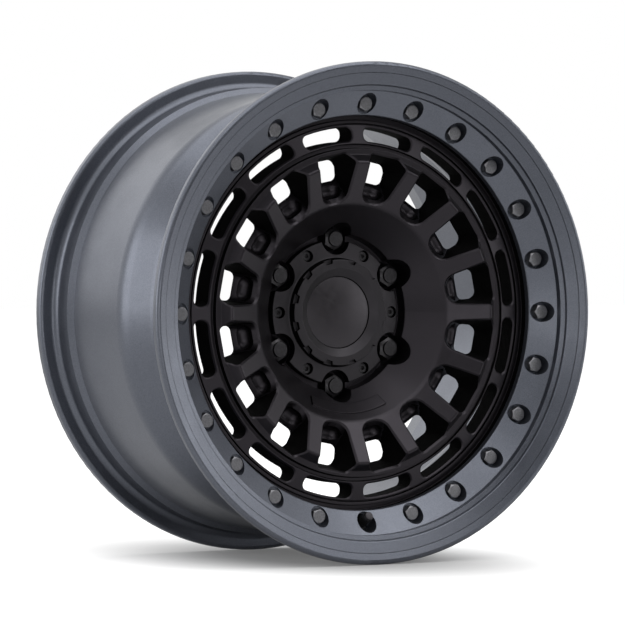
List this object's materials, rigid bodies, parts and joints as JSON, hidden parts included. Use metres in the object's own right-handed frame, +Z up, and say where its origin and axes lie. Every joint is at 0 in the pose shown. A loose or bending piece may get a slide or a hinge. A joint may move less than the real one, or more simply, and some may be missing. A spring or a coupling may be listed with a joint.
{
  "type": "alloy wheel",
  "caption": "Cast alloy road wheel with a deep slotted and windowed face, bolted trim ring, screwed centre cap, lug nuts and a clamp-in tyre valve",
  "frame": {"origin": "middle of the hub pad's plane, on the wheel's axis; also the rim's middle plane, because the offset is zero", "axes": "the wheel turns about Y; +Y points inboard to the hub, the face looks along -Y, +Z is up with the valve at the bottom"},
  "size_m": [0.47, 0.2496, 0.47],
  "materials": {
    "casting": "satin black paint on the face, gunmetal paint on the barrel",
    "gunmetal": "metallic gunmetal paint",
    "bolt_steel": "dark coated steel",
    "nut_steel": "black coated steel",
    "cap_black": "satin black",
    "disc_black": "satin black",
    "valve_metal": "black coated brass",
    "core_brass": "plain",
    "spring_steel": "plain",
    "cap_plastic": "moulded",
    "rubber": "plain"
  },
  "bodies": {
    "wheel": {"wheel_casting": "casting", "trim_ring": "gunmetal", "ring_bolts": "bolt_steel", "lug_nuts": "nut_steel", "centre_cap": "cap_black", "cap_disc": "disc_black", "cap_screws": "nut_steel", "valve_stem": "valve_metal", "valve_grommet": "rubber", "valve_washer": "valve_metal", "valve_nut": "valve_metal", "valve_core_body": "core_brass", "valve_core_spring": "spring_steel"},
    "cap": {"valve_cap": "cap_plastic", "valve_cap_seal": "rubber"},
    "core_pin": {"valve_core_pin": "core_brass"}
  },
  "joints": [
    {"name": "cap_removal", "type": "slide", "parent": "wheel", "child": "cap", "axis": [0, -0.9063, 0.4226], "range_m": [0, 0.016]},
    {"name": "core_pin_press", "type": "slide", "parent": "wheel", "child": "core_pin", "axis": [0, 0.9063, -0.4226], "range_m": [0, 0.0012], "stiffness_N_per_m": 500, "springref_m": -0.002, "deforming": ["valve_core_spring"]}
  ]
}
